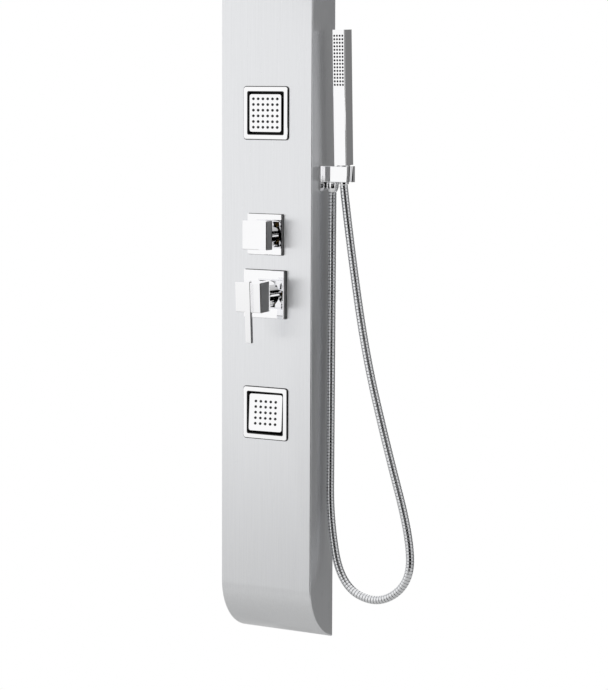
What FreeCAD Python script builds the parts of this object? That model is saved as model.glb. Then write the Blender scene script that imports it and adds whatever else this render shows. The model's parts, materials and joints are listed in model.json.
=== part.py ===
import FreeCAD, Part
import math
import os

from FreeCAD import Vector

# Wall-hung shower panel column, in millimetres.
# +Z is up, the front faces -Y, and +X is right seen from the front.
# The origin is the centre of the four wall screws, on the plane of the wall (Y = 0).

# Panel: one folded stainless sheet, open at the back, with its two ends rolled back to the wall
panel_width = 190.0
panel_height = 1350.0
panel_depth = 76.0
sheet = 1.2
fold_radius = 2.4
end_roll_radius = 98.0
lip_width = 12.0
lip_end_gap = 60.0

# Wall fixing: two brackets, two hanger bars that hook over them
screw_spacing_x = 100.0
screw_spacing_z = 900.0
screw_hole_radius = 3.0
bracket_length = 140.0
bracket_thickness = 2.0
bracket_screw_leg_below = 16.0
bracket_screw_leg_above = 14.0
bracket_reach = 10.0
hook_height = 13.0
hook_gap = 0.3
bar_front_leg = 18.0
bar_rear_leg = 9.0

# Heights of what sits on the front face: from the screws' centre, and the arm from the panel's top
jet_height = 267.0
valve_height = 53.0
arm_from_top = 115.0
outlet_height = 153.0

# Valve body and its two cartridges, which are the same size
housing_side = 46.0
housing_depth = 50.0
neck_radius = 20.0
neck_length = 14.0
cartridge_radius = 17.5
cartridge_fit = 0.1
cartridge_floor = 28.0
cartridge_nut_width = 34.0
cartridge_nut_bore = 12.6
cartridge_nut_head = 3.0
duct_width = 26.0
duct_depth = 24.0
outlet_pad_side = 18.0
outlet_pad_length = 5.0
inlet_spacing = 80.0
inlet_radius = 10.48
inlet_bore = 7.0
inlet_length = 16.0
inlet_rail_side = 28.0
inlet_rail_height = 19.0
inlet_drop = 30.0
thread_fit = 0.25

# Mixer: plate, round collar, tilting and turning block with a hanging lever
mixer_plate_side = 85.0
mixer_plate_thickness = 7.5
plate_edge = 0.6
collar_radius = 23.5
mixer_collar_height = 14.5
mixer_pivot_depth = 10.0
mixer_lean = 3.0
rotor_radius = 10.0
rotor_fit = 0.06
rotor_web = 2.0
rotor_back = 8.0
rotor_front = 4.0
stem_width = 8.0
stem_fit = 0.15
stem_back = 4.0
pin_radius = 1.5
pin_fit = 0.05
pin_short = 0.6
block_side = 53.0
block_thickness = 30.0
block_back = 19.0
block_wall = 3.0
block_edge = 1.0
hub_radius = 8.0
hub_start = 13.0
stem_in_hub = 22.0
lever_width = 12.0
lever_length = 109.0
lever_thickness = 6.0
lever_rise = 2.5
lever_offset = 2.5
lever_edge = 0.6
grub_radius = 2.5
grub_length = 7.0
grub_key = 2.5

# Diverter: smaller plate, collar and a square knob on a turning spindle
diverter_plate_side = 72.0
diverter_plate_thickness = 6.0
diverter_collar_height = 10.0
knob_side = 51.0
knob_thickness = 19.0
knob_front = 33.0
knob_wall = 3.0
knob_hub_radius = 10.0
knob_hub_gap = 1.5
spindle_width = 8.0
spindle_short = 2.0

# Body jets: bezel, housing behind the sheet, tilting face on a ball
bezel_side = 92.0
bezel_corner = 5.0
bezel_thickness = 2.2
bezel_edge = 0.5
recess_side = 77.0
recess_corner = 3.0
jet_cutout_gap = 0.5
housing_wall = 1.5
housing_flange = 84.0
flange_thickness = 1.0
recess_depth = 22.0
jet_floor = 2.0
jet_face_side = 66.0
jet_face_corner = 4.0
jet_face_proud = 3.6
jet_face_thickness = 5.0
jet_ball_depth = 16.0
jet_ball_radius = 7.0
jet_ball_band = 3.0
jet_stem_radius = 4.5
jet_ring_gap = 0.3
jet_ring_wall = 1.6
jet_ring_height = 3.6
jet_socket_wall = 2.6
jet_socket_gap = 0.45
jet_boss_side = 28.0
jet_boss_depth = 32.0
jet_spigot_side = 18.0
jet_spigot_length = 12.0
jet_nut_width = 24.0
jet_nut_length = 8.0
nozzle_pitch = 10.0
nozzle_base = 2.6
nozzle_tip = 1.8
nozzle_length = 2.0
nozzle_sides = 4
upper_jet_rows = 6
lower_jet_rows = 5
lower_jet_turn = 5.0
lower_jet_tilt = 3.5

# Hand shower outlet with its holder, on the right-hand side wall
outlet_depth = 30.3
side_flange_side = 43.0
side_flange_thickness = 3.0
side_flange_top = 22.0
holder_length = 52.0
holder_depth = 28.0
holder_height = 28.0
holder_edge = 0.8
holder_seat_x = 37.5
hose_outlet_x = 14.5
hose_outlet_length = 9.0
hose_slot = 15.0
tail_radius = 10.4
tail_length = 22.0
tail_nut_width = 26.0
tail_nut_length = 7.0
handset_lean = 2.0

# Hose nuts and hand shower
hose_radius = 7.0
outlet_nut_radius = 11.2
outlet_nut_length = 18.0
outlet_nut_straight = 7.0
outlet_nut_lip = 1.0
seat_nut_radius = 11.8
seat_nut_straight = 3.0
seat_nut_length = 34.0
seat_nut_end_radius = 8.8
seat_gap = 0.3
handset_side = 25.4
handset_length = 236.0
handset_edge = 1.5
handset_clear = 2.0
spray_length = 114.0
spray_inset = 1.2
spray_depth = 3.0
spray_top_margin = 1.2

# Overhead arm and rain head
arm_side = 25.0
arm_wall = 2.0
arm_reach = 360.0
arm_edge = 1.0
arm_flange_side = 60.0
arm_flange_thickness = 6.0
arm_tail_length = 31.0
head_from_end = 20.0
head_side = 200.0
head_corner = 6.0
head_thickness = 8.0
head_wall = 1.5
head_face_thickness = 2.0
head_drop = 30.0
head_ball_radius = 9.0
head_ball_band = 4.0
head_stem_radius = 6.0
head_ring_gap = 0.3
head_ring_wall = 2.0
head_ring_height = 4.4
head_socket_gap = 0.45
head_socket_wall = 3.0
head_socket_depth = 12.0
head_socket_roof = 2.0

# Pipes inside the panel
pipe_radius = 7.0
elbow_side = 18.0
pipe_depth = 36.0
side_pipe_x = 62.0
hand_pipe_x = 60.0
rain_pipe_step = 195.0

# The hose hangs in one plane beside the panel, from the outlet down, round and up to the holder.
# Its route is a list of chosen points (X, Z), after the outlet nut and before the seat nut.
hose_route = [
    (109.5, 128.7),
    (107.5, -455.0),
    (130.5, -571.0),
    (206.0, -600.5),
    (272.5, -555.0),
    (272.5, -472.0),
    (222.0, -310.0),
    (178.0, -150.0),
    (144.5, 50.0),
    (132.5, 141.8),
]

# Flat facets that stand in for the round of hidden pieces: turning parts and threads, tails and pipes, small rings
turning_sides = 24
tail_sides = 16
ring_sides = 12

front = -panel_depth
inside = front + sheet
half_width = panel_width / 2
half_height = panel_height / 2
arm_height = half_height - arm_from_top
inner_half = half_width - sheet
clearly_past = 5.0
parts_made = []


def save(name, shape):
    shape.exportStep("parts/" + name + ".step")
    parts_made.append((name, shape))


def box(x_range, y_range, z_range):
    size = [r[1] - r[0] for r in (x_range, y_range, z_range)]
    corner = Vector(x_range[0], y_range[0], z_range[0])
    return Part.makeBox(size[0], size[1], size[2], corner)


def centred_box(side_x, y_range, side_z, x=0.0, z=0.0):
    return box((x - side_x / 2, x + side_x / 2), y_range, (z - side_z / 2, z + side_z / 2))


def rod(radius, start, end):
    """A cylinder from one point to another."""
    along = end - start
    return Part.makeCylinder(radius, along.Length, start, along)


def rod_y(radius, y_range, x=0.0, z=0.0):
    return rod(radius, Vector(x, y_range[0], z), Vector(x, y_range[1], z))


def hexagon_y(width, y_range, x=0.0, z=0.0):
    """A hexagonal prism of the given width across flats, along Y."""
    corner = width / math.sqrt(3)
    angles = [math.radians(60 * i) for i in range(7)]
    points = [Vector(x + corner * math.cos(a), y_range[0], z + corner * math.sin(a)) for a in angles]
    face = Part.Face(Part.makePolygon(points))
    return face.extrude(Vector(0, y_range[1] - y_range[0], 0))


def hexagon_nut_y(width, bore, y_range, x=0.0, z=0.0):
    hole = (y_range[0] - clearly_past, y_range[1] + clearly_past)
    return hexagon_y(width, y_range, x, z).cut(faceted_hole_y(bore, hole, x, z))


def corner_ring(centre, axis, radius, sides):
    """Evenly spaced corners round an axis."""
    across = Vector(1, 0, 0) if abs(axis.x) < 0.5 else Vector(0, 0, 1)
    other = axis.cross(across).normalize()
    across = other.cross(axis).normalize()
    ring = []
    for side in range(sides):
        angle = 2 * math.pi * (side + 0.5) / sides
        ring.append(centre + across * (radius * math.cos(angle)) + other * (radius * math.sin(angle)))
    return ring


def faceted_rod(radius, start, end, sides):
    """A straight bar with flat sides, whose corners reach the radius."""
    along = end - start
    corners = corner_ring(start, along.normalize(), radius, sides)
    return polygon_face(corners).extrude(end - start)


def faceted_hole(radius, start, end, sides):
    """The same for a hole: its flats stay at least the radius from the axis."""
    return faceted_rod(radius / math.cos(math.pi / sides), start, end, sides)


def faceted_turning(centres, radii, sides):
    """A tapered or barrel form in flat facets, through a ring of corners at each centre."""
    axis = (centres[-1] - centres[0]).normalize()
    rings = [corner_ring(centre, axis, radius, sides) for centre, radius in zip(centres, radii)]
    faces = [polygon_face(rings[0][::-1]), polygon_face(rings[-1])]
    for low, high in zip(rings, rings[1:]):
        for side in range(sides):
            after = (side + 1) % sides
            faces.append(polygon_face([low[side], low[after], high[after], high[side]]))
    return Part.makeSolid(Part.makeShell(faces))


def faceted_hole_y(radius, y_range, x=0.0, z=0.0, sides=turning_sides):
    return faceted_hole(radius, Vector(x, y_range[0], z), Vector(x, y_range[1], z), sides)


def ball_band(radius, band, centre, axis):
    """The middle band of a ball, with a flat at each end."""
    half_angle = math.degrees(math.asin(band / 2 / radius))
    return Part.makeSphere(radius, centre, axis, -half_angle, half_angle, 360)


def polygon_face(corners):
    return Part.Face(Part.makePolygon(corners + corners[:1]))


def hexagon_nut_x(width, bore, x_range, y, z):
    """A hexagonal nut whose hole runs along X."""
    nut = hexagon_nut_y(width, bore, (0.0, x_range[1] - x_range[0]))
    nut.rotate(Vector(0, 0, 0), Vector(0, 0, 1), -90)
    nut.translate(Vector(x_range[0], y, z))
    return nut


def edges_along(shape, axis):
    """Straight edges of a shape that run along one of the axes."""
    found = []
    for edge in shape.Edges:
        if edge.Curve.TypeId == "Part::GeomLine":
            direction = edge.Curve.Direction
            if abs(abs(direction.dot(axis)) - 1) < 1e-6:
                found.append(edge)
    return found


def rounded_plate(side, corner, y_range, x=0.0, z=0.0):
    """A square plate facing -Y with rounded corners."""
    plate = centred_box(side, y_range, side, x, z)
    return plate.makeFillet(corner, edges_along(plate, Vector(0, 1, 0)))


def front_edges(shape, y):
    """Edges of a shape that lie in one plane of constant Y."""
    chosen = []
    for edge in shape.Edges:
        bounds = edge.BoundBox
        if abs(bounds.YMin - y) < 1e-4 and abs(bounds.YMax - y) < 1e-4:
            chosen.append(edge)
    return chosen


def turned(shape, point, axis, degrees):
    moved = shape.copy()
    moved.rotate(point, axis, degrees)
    return moved


# ---------------------------------------------------------------- panel


def side_outline(depth, radius, back):
    """Side view of the panel or of its inside: the front line, an arc at each end and the back line."""
    arc_centre_y = -depth + radius
    rise = math.sqrt(end_roll_radius**2 - (end_roll_radius - panel_depth) ** 2)
    centre_z = half_height - rise
    reach = math.sqrt(radius**2 - arc_centre_y**2)
    middle = math.radians(180) - math.asin(reach / radius) / 2
    mid_y = arc_centre_y + radius * math.cos(middle)
    mid_z = radius * math.sin(middle)
    top = Part.Arc(
        Vector(0, -depth, centre_z),
        Vector(0, mid_y, centre_z + mid_z),
        Vector(0, 0, centre_z + reach),
    )
    bottom = Part.Arc(
        Vector(0, 0, -centre_z - reach),
        Vector(0, mid_y, -centre_z - mid_z),
        Vector(0, -depth, -centre_z),
    )
    edges = [bottom.toShape()]
    edges.append(Part.LineSegment(Vector(0, -depth, -centre_z), Vector(0, -depth, centre_z)).toShape())
    edges.append(top.toShape())
    corners = [Vector(0, 0, centre_z + reach), Vector(0, 0, -centre_z - reach)]
    if back > 0:
        corners.insert(1, Vector(0, back, centre_z + reach))
        corners.insert(2, Vector(0, back, -centre_z - reach))
    for start, end in zip(corners, corners[1:]):
        edges.append(Part.LineSegment(start, end).toShape())
    return Part.Face(Part.Wire(edges))


def rolled_solid(width, depth, radius, back):
    """The side outline drawn out to a width."""
    face = side_outline(depth, radius, back)
    face.translate(Vector(-width / 2, 0, 0))
    return face.extrude(Vector(width, 0, 0))


def fold_edges(solid, width):
    """The long front edges of a rolled solid, right round its two rolled ends."""
    chosen = []
    for edge in solid.Edges:
        middle = edge.valueAt((edge.FirstParameter + edge.LastParameter) / 2)
        along_side = abs(edge.valueAt(edge.FirstParameter).x - edge.valueAt(edge.LastParameter).x) < 1e-6
        if along_side and abs(abs(middle.x) - width / 2) < 1e-6 and middle.y < -sheet:
            chosen.append(edge)
    return chosen


def make_panel_shell():
    outer = rolled_solid(panel_width, panel_depth, end_roll_radius, 0.0)
    outer = outer.makeFillet(fold_radius, fold_edges(outer, panel_width))
    inner = rolled_solid(2 * inner_half, panel_depth - sheet, end_roll_radius - sheet, clearly_past)
    shell = outer.cut(inner)
    lip_top = half_height - lip_end_gap
    for side in (-1, 1):
        edge_x = sorted((side * inner_half, side * (inner_half - lip_width)))
        shell = shell.fuse(box(edge_x, (-sheet, 0.0), (-lip_top, lip_top)))
    through = (front - clearly_past, front + clearly_past)
    for z in (-jet_height, jet_height):
        cutout = recess_side + 2 * jet_cutout_gap
        shell = shell.cut(centred_box(cutout, through, cutout, 0.0, z))
    for z in (-valve_height, valve_height):
        shell = shell.cut(faceted_hole_y(neck_radius + thread_fit, through, 0.0, z))
    shell = shell.cut(faceted_hole_y(tail_radius + thread_fit, through, 0.0, arm_height))
    return shell.cut(side_hole()).removeSplitter()


def side_hole():
    """The hole that the outlet's tail needs in whatever lies along the right-hand side wall."""
    start = Vector(half_width - clearly_past, -outlet_depth, outlet_height)
    end = Vector(half_width + clearly_past, -outlet_depth, outlet_height)
    return faceted_hole(tail_radius + thread_fit, start, end, tail_sides)


def extruded_section(points, length):
    """A section given as (Y, Z) points, drawn along X and centred on X = 0."""
    corners = [Vector(-length / 2, y, z) for y, z in points]
    corners.append(corners[0])
    return Part.Face(Part.makePolygon(corners)).extrude(Vector(length, 0, 0))


def make_wall_bracket(z):
    """A Z-shaped strap: a leg on the wall, a step forward and a hook that stands up."""
    t = bracket_thickness
    top = z + bracket_screw_leg_above
    section = [
        (0, z - bracket_screw_leg_below),
        (0, top),
        (-bracket_reach + t, top),
        (-bracket_reach + t, top + hook_height),
        (-bracket_reach, top + hook_height),
        (-bracket_reach, top - t),
        (-t, top - t),
        (-t, z - bracket_screw_leg_below),
    ]
    strap = extruded_section(section, bracket_length)
    for side in (-1, 1):
        x = side * screw_spacing_x / 2
        strap = strap.cut(rod_y(screw_hole_radius, (-clearly_past, clearly_past), x, z))
    return strap


def make_hanger_bar(z):
    """A bar between the side walls, folded over the bracket's hook from above, with an end tab at each side."""
    t = bracket_thickness
    hook_top = z + bracket_screw_leg_above + hook_height
    front_face = -bracket_reach - hook_gap
    rear_face = -bracket_reach + t + hook_gap
    section = [
        (front_face, hook_top),
        (rear_face, hook_top),
        (rear_face, hook_top - bar_rear_leg),
        (rear_face + t, hook_top - bar_rear_leg),
        (rear_face + t, hook_top + t),
        (front_face - t, hook_top + t),
        (front_face - t, hook_top + t - bar_front_leg),
        (front_face, hook_top + t - bar_front_leg),
    ]
    bar = extruded_section(section, 2 * inner_half)
    for side in (-1, 1):
        x_range = sorted((side * inner_half, side * (inner_half - t)))
        tab = box(x_range, (front_face - bar_front_leg, front_face), (hook_top + t - bar_front_leg, hook_top + t))
        bar = bar.fuse(tab)
    return bar.removeSplitter()


# ---------------------------------------------------------------- valves


def make_valve_body():
    """One brass casting: mixer housing below, diverter housing above, a duct between and two inlets below."""
    back = inside + housing_depth
    mouth = front - neck_length
    floor = inside + cartridge_floor
    body = box((-duct_width / 2, duct_width / 2), (back - duct_depth, back), (-valve_height, valve_height))
    rail_z = -valve_height - inlet_drop
    rail_length = inlet_spacing + inlet_rail_side
    rail_y = (-pipe_depth - inlet_rail_side / 2, -pipe_depth + inlet_rail_side / 2)
    rail_end = (rail_z - inlet_rail_height / 2, rail_z + inlet_rail_height / 2)
    body = body.fuse(box((-rail_length / 2, rail_length / 2), rail_y, rail_end))
    for z in (-valve_height, valve_height):
        body = body.fuse(centred_box(housing_side, (inside, back), housing_side, 0.0, z))
        neck = faceted_rod(neck_radius, Vector(0, mouth, z), Vector(0, inside, z), turning_sides)
        body = body.fuse(neck)
    pad = outlet_pad_side / 2
    pad_y = (-pipe_depth - pad, -pipe_depth + pad)
    reach = outlet_reach()
    body = body.fuse(box((-reach, reach), pad_y, (valve_height - pad, valve_height + pad)))
    body = body.fuse(box((-pad, pad), pad_y, (valve_height, valve_height + reach)))
    for z in (-valve_height, valve_height):
        body = body.cut(faceted_hole_y(cartridge_radius + cartridge_fit, (mouth - clearly_past, floor), 0.0, z))
    for side in (-1, 1):
        x = side * inlet_spacing / 2
        top = Vector(x, -pipe_depth, rail_end[0])
        end = top - Vector(0, 0, inlet_length)
        body = body.fuse(rod(inlet_radius, top, end))
        body = body.cut(faceted_hole(inlet_bore, top, end - Vector(0, 0, clearly_past), tail_sides))
    return body.removeSplitter()


def outlet_reach():
    """How far the diverter's three outlets stand from its centre."""
    return housing_side / 2 + outlet_pad_length


def make_cartridge(z):
    """The fixed ceramic cartridge: a can with a round well in its nose for the turning part."""
    mouth = front - neck_length
    nose = Vector(0, mouth, z)
    can = faceted_rod(cartridge_radius, nose, Vector(0, inside + cartridge_floor, z), turning_sides)
    well_bottom = mixer_pivot_y() + rotor_back
    return can.cut(faceted_hole_y(rotor_radius + rotor_fit, (mouth - clearly_past, well_bottom), 0.0, z))


def make_cartridge_nut(z):
    """The hexagonal ring on the neck's end that keeps the cartridge in."""
    mouth = front - neck_length
    return hexagon_nut_y(cartridge_nut_width, cartridge_nut_bore, (mouth - cartridge_nut_head, mouth), 0.0, z)


def make_escutcheon(side, thickness, z):
    plate = centred_box(side, (front - thickness, front), side, 0.0, z)
    plate = plate.makeChamfer(plate_edge, front_edges(plate, front - thickness))
    hole = (front - thickness - clearly_past, front + clearly_past)
    return plate.cut(faceted_hole_y(neck_radius + thread_fit, hole, 0.0, z))


def make_collar(plate_thickness, height, z):
    """A round collar that screws on the neck and holds the plate down."""
    seat = front - plate_thickness
    hole = (seat - height - clearly_past, seat + clearly_past)
    ring = rod_y(collar_radius, (seat - height, seat), 0.0, z)
    return ring.cut(faceted_hole_y(neck_radius + thread_fit, hole, 0.0, z))


def mixer_pivot_y():
    return front - mixer_pivot_depth


def mixer_frame(shape):
    """Tips what was drawn square to the plate down by the lean that the closed handle has."""
    return turned(shape, Vector(0, mixer_pivot_y(), -valve_height), Vector(1, 0, 0), mixer_lean)


def make_rotor():
    """The cartridge's turning fork: it carries the lever pin between its two cheeks."""
    pivot = mixer_pivot_y()
    z = -valve_height
    nose = Vector(0, pivot - rotor_front, z)
    fork = faceted_rod(rotor_radius, nose, Vector(0, pivot + rotor_back, z), turning_sides)
    slot_side = stem_width + 2 * stem_fit
    slot_y = (pivot - rotor_front - clearly_past, pivot + rotor_back - rotor_web)
    slot = centred_box(slot_side, slot_y, 3 * rotor_radius, 0.0, z)
    fork = fork.cut(slot)
    hole = rod(pin_radius, Vector(-rotor_radius, pivot, z), Vector(rotor_radius, pivot, z))
    return fork.cut(hole)


def make_lever_pin():
    pivot = mixer_pivot_y()
    half = rotor_radius - pin_short
    return rod(pin_radius, Vector(-half, pivot, -valve_height), Vector(half, pivot, -valve_height))


def make_stem():
    """The square stem that the handle moves, bored for the lever pin."""
    pivot = mixer_pivot_y()
    z = -valve_height
    stem = centred_box(stem_width, (pivot - hub_start - stem_in_hub, pivot + stem_back), stem_width, 0.0, z)
    hole = rod(pin_radius + pin_fit, Vector(-stem_width, pivot, z), Vector(stem_width, pivot, z))
    return mixer_frame(stem.cut(hole))


def make_mixer_handle():
    """A cast square block, hollow behind, with a round hub over the stem and a grub screw hole below."""
    pivot = mixer_pivot_y()
    z = -valve_height
    back = pivot - block_back
    face = back - block_thickness
    block = centred_box(block_side, (face, back), block_side, 0.0, z)
    block = block.makeChamfer(block_edge, front_edges(block, face))
    pocket_side = block_side - 2 * block_wall
    pocket = centred_box(pocket_side, (face + block_wall, back + clearly_past), pocket_side, 0.0, z)
    hub_root = Vector(0, face + block_wall, z)
    hub = faceted_rod(hub_radius, hub_root, Vector(0, pivot - hub_start, z), turning_sides)
    socket = centred_box(stem_width, (pivot - hub_start - stem_in_hub, pivot), stem_width, 0.0, z)
    block = block.cut(pocket).fuse(hub).cut(socket)
    grub_y = grub_position()
    hole_top = Vector(0, grub_y, z - stem_width / 2)
    hole = faceted_rod(grub_radius, hole_top, Vector(0, grub_y, z - block_side), ring_sides)
    return mixer_frame(block.cut(hole))


def grub_position():
    return mixer_pivot_y() - block_back - block_wall


def make_grub_screw():
    z = -valve_height - stem_width / 2
    y = grub_position()
    screw = faceted_rod(grub_radius, Vector(0, y, z), Vector(0, y, z - grub_length), ring_sides)
    key = centred_box(grub_key, (y - grub_key / 2, y + grub_key / 2), grub_key, 0.0, z - grub_length)
    return mixer_frame(screw.cut(key))


def make_mixer_lever():
    """A flat bar on the block's front that starts a little above its top and hangs well below it."""
    face = mixer_pivot_y() - block_back - block_thickness
    top = -valve_height + block_side / 2 + lever_rise
    x_range = (lever_offset - lever_width / 2, lever_offset + lever_width / 2)
    bar = box(x_range, (face - lever_thickness, face), (top - lever_length, top))
    return mixer_frame(bar.makeChamfer(lever_edge, front_edges(bar, face - lever_thickness)))


def make_spindle():
    """The diverter's turning part: a disc in the cartridge's well and a square end for the knob."""
    pivot = mixer_pivot_y()
    z = valve_height
    nose = Vector(0, pivot - rotor_front, z)
    disc = faceted_rod(rotor_radius, nose, Vector(0, pivot + rotor_back, z), turning_sides)
    end = knob_face() + knob_wall + spindle_short
    return disc.fuse(centred_box(spindle_width, (end, pivot), spindle_width, 0.0, z))


def knob_face():
    return front - diverter_plate_thickness - knob_front


def make_knob():
    z = valve_height
    face = knob_face()
    back = face + knob_thickness
    knob = centred_box(knob_side, (face, back), knob_side, 0.0, z)
    knob = knob.makeChamfer(block_edge, front_edges(knob, face))
    pocket_side = knob_side - 2 * knob_wall
    knob = knob.cut(centred_box(pocket_side, (face + knob_wall, back + clearly_past), pocket_side, 0.0, z))
    hub_end = front - diverter_plate_thickness - diverter_collar_height - knob_hub_gap
    hub = faceted_rod(knob_hub_radius, Vector(0, face + knob_wall, z), Vector(0, hub_end, z), turning_sides)
    hollow = (face + knob_wall + spindle_short, hub_end + clearly_past)
    socket = centred_box(spindle_width, hollow, spindle_width, 0.0, z)
    return knob.fuse(hub).cut(socket)


# ---------------------------------------------------------------- body jets


def jet_pivot_y():
    return front + jet_ball_depth


def jet_face_front():
    return front - jet_face_proud


def make_bezel(z):
    """The bright square frame: it covers the housing's flange and the edge of the cut-out."""
    face = front - flange_thickness - bezel_thickness
    frame = rounded_plate(bezel_side, bezel_corner, (face, front), 0.0, z)
    frame = frame.makeChamfer(bezel_edge, front_edges(frame, face))
    opening = rounded_plate(recess_side, recess_corner, (face - clearly_past, front + clearly_past), 0.0, z)
    rebate = centred_box(housing_flange, (front - flange_thickness, front + clearly_past), housing_flange, 0.0, z)
    return frame.cut(opening).cut(rebate)


def make_jet_housing(z):
    """A moulded tray that the face tilts in, with the ball's socket on its floor and a side inlet behind."""
    floor_front = front + recess_depth
    floor_back = floor_front + jet_floor
    flange = centred_box(housing_flange, (front - flange_thickness, front), housing_flange, 0.0, z)
    tray = centred_box(recess_side, (front, floor_back), recess_side, 0.0, z)
    inner_side = recess_side - 2 * housing_wall
    well = rounded_plate(inner_side, recess_corner - housing_wall, (front - clearly_past, floor_front), 0.0, z)
    boss = centred_box(jet_boss_side, (floor_back, floor_back + jet_boss_depth), jet_boss_side, 0.0, z)
    bore = jet_ring_outer() + jet_socket_gap
    socket_side = 2 * (bore + jet_socket_wall)
    socket = centred_box(socket_side, (jet_pivot_y() - jet_ring_height / 2, floor_back), socket_side, 0.0, z)
    spigot = box(
        (-jet_boss_side / 2 - jet_spigot_length, -jet_boss_side / 2),
        (-pipe_depth - jet_spigot_side / 2, -pipe_depth + jet_spigot_side / 2),
        (z - jet_spigot_side / 2, z + jet_spigot_side / 2),
    )
    housing = flange.fuse(tray).cut(well).fuse(socket).fuse(boss).fuse(spigot)
    hollow = (front - clearly_past, floor_back)
    return housing.cut(faceted_hole_y(bore, hollow, 0.0, z, ring_sides)).removeSplitter()


def jet_ring_outer():
    return jet_ball_radius + jet_ring_gap + jet_ring_wall


def make_jet_nut(z):
    """The union nut that joins the jets' pipe to a housing's side inlet."""
    end = -jet_boss_side / 2 - jet_spigot_length
    return hexagon_nut_x(jet_nut_width, pipe_radius, (end - jet_nut_length, end), -pipe_depth, z)


def jet_rest(shape, z):
    """Turns the lower jet's moving pieces to the way they point at rest; the upper jet points straight out."""
    if z > 0:
        return shape
    pivot = Vector(0, jet_pivot_y(), z)
    shape = turned(shape, pivot, Vector(1, 0, 0), -lower_jet_tilt)
    return turned(shape, pivot, Vector(0, 0, 1), lower_jet_turn)


def faceted_ring(inner, outer, centre, half):
    """A ring of flat facets, with at least the inner radius clear inside it."""
    ring = faceted_rod(outer, centre - half, centre + half, ring_sides)
    return ring.cut(faceted_hole(inner, centre - half * 2, centre + half * 2, ring_sides))


def make_seat_ring(z):
    """The plastic friction ring round the ball."""
    half = Vector(0, jet_ring_height / 2, 0)
    inner = jet_ball_radius + jet_ring_gap
    return faceted_ring(inner, jet_ring_outer(), Vector(0, jet_pivot_y(), z), half)


def make_jet_face(z):
    """The square spray face, its hollow stem and the ball that it tilts on."""
    face_front = jet_face_front()
    back = face_front + jet_face_thickness
    pivot = jet_pivot_y()
    face = rounded_plate(jet_face_side, jet_face_corner, (face_front, back), 0.0, z)
    centre = Vector(0, pivot, z)
    stem = faceted_rod(jet_stem_radius, Vector(0, back, z), centre, tail_sides)
    ball = ball_band(jet_ball_radius, jet_ball_band, centre, Vector(0, 1, 0))
    return face.fuse(stem).fuse(ball)


def make_nozzles(z, rows):
    """The soft nozzles, as one tapered peg each, in a square grid."""
    start = -nozzle_pitch * (rows - 1) / 2
    pegs = []
    for row in range(rows):
        for column in range(rows):
            base = Vector(start + column * nozzle_pitch, jet_face_front(), z + start + row * nozzle_pitch)
            tip = base - Vector(0, nozzle_length, 0)
            pegs.append(faceted_turning([base, tip], [nozzle_base, nozzle_tip], nozzle_sides))
    return Part.makeCompound(pegs)


# ---------------------------------------------------------------- outlet, holder and hand shower


def seat_axis_point(height):
    """A point on the handset's leaning axis, at a height above the holder's top."""
    return Vector(half_width + holder_seat_x, -outlet_depth, holder_top() + height)


def holder_top():
    return outlet_height + side_flange_top


def lean_handset(shape):
    """Tips the hand shower outwards about the middle of the holder's seat."""
    return turned(shape, seat_axis_point(-holder_height / 2), Vector(1, 0, 0), handset_lean)


def make_outlet_holder():
    """One casting: tail through the side wall, hose outlet below, tapered seat with a side slot for the handset."""
    top = holder_top()
    bottom = top - holder_height
    y_range = (-outlet_depth - holder_depth / 2, -outlet_depth + holder_depth / 2)
    start = half_width + side_flange_thickness
    block = box((start, half_width + holder_length), y_range, (bottom, top))
    block = block.makeChamfer(holder_edge, front_edges(block, y_range[0]))
    tail_start = Vector(half_width - tail_length, -outlet_depth, outlet_height)
    tail = faceted_rod(tail_radius, tail_start, Vector(start, -outlet_depth, outlet_height), tail_sides)
    stub_top = Vector(half_width + hose_outlet_x, -outlet_depth, bottom)
    stub = faceted_rod(tail_radius, stub_top, stub_top - Vector(0, 0, hose_outlet_length), tail_sides)
    body = block.fuse(tail).fuse(stub)
    slot = box(
        (half_width + holder_seat_x, half_width + holder_length + clearly_past),
        (-outlet_depth - hose_slot / 2, -outlet_depth + hose_slot / 2),
        (bottom - clearly_past, top + clearly_past),
    )
    return body.cut(tapered_nut(seat_gap, clearly_past)).cut(slot).removeSplitter()


def tapered_nut(gap, past):
    """The seat nut's form, or with a gap all round the hollow that it sits in, carried past both its ends."""
    fall = seat_nut_radius - seat_nut_end_radius
    steepness = fall / (seat_nut_length - seat_nut_straight)
    upper = seat_axis_point(handset_clear + past)
    waist = seat_axis_point(handset_clear - seat_nut_straight)
    lower = seat_axis_point(handset_clear - seat_nut_length - past)
    radii = [seat_nut_radius + gap, seat_nut_radius + gap, seat_nut_end_radius + gap - steepness * past]
    return lean_handset(faceted_turning([upper, waist, lower], radii, tail_sides))


def make_side_flange():
    """The square plate between the side wall and the outlet casting."""
    top = holder_top()
    plate = box(
        (half_width, half_width + side_flange_thickness),
        (-outlet_depth - side_flange_side / 2, -outlet_depth + side_flange_side / 2),
        (top - side_flange_side, top),
    )
    return plate.cut(side_hole())


def make_tail_nuts():
    """The nuts inside the panel on the outlet's tail and on the arm's tail, which have one thread size."""
    side_nut = hexagon_nut_x(
        tail_nut_width,
        tail_radius,
        (inner_half - tail_nut_length, inner_half),
        -outlet_depth,
        outlet_height,
    )
    arm_nut = hexagon_nut_y(tail_nut_width, tail_radius, (inside, inside + tail_nut_length), 0.0, arm_height)
    return [side_nut, arm_nut]


def make_outlet_hose_nut():
    """The nut on the hose's upper left end: straight where it takes the thread, tapered to the hose."""
    top = Vector(half_width + hose_outlet_x, -outlet_depth, holder_top() - holder_height)
    waist = top - Vector(0, 0, outlet_nut_straight)
    end = top - Vector(0, 0, outlet_nut_length)
    radii = [outlet_nut_radius, outlet_nut_radius, hose_radius + outlet_nut_lip]
    nut = faceted_turning([top, waist, end], radii, tail_sides)
    bore_end = top - Vector(0, 0, hose_outlet_length)
    return nut.cut(faceted_hole(tail_radius, top, bore_end, tail_sides))


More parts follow.
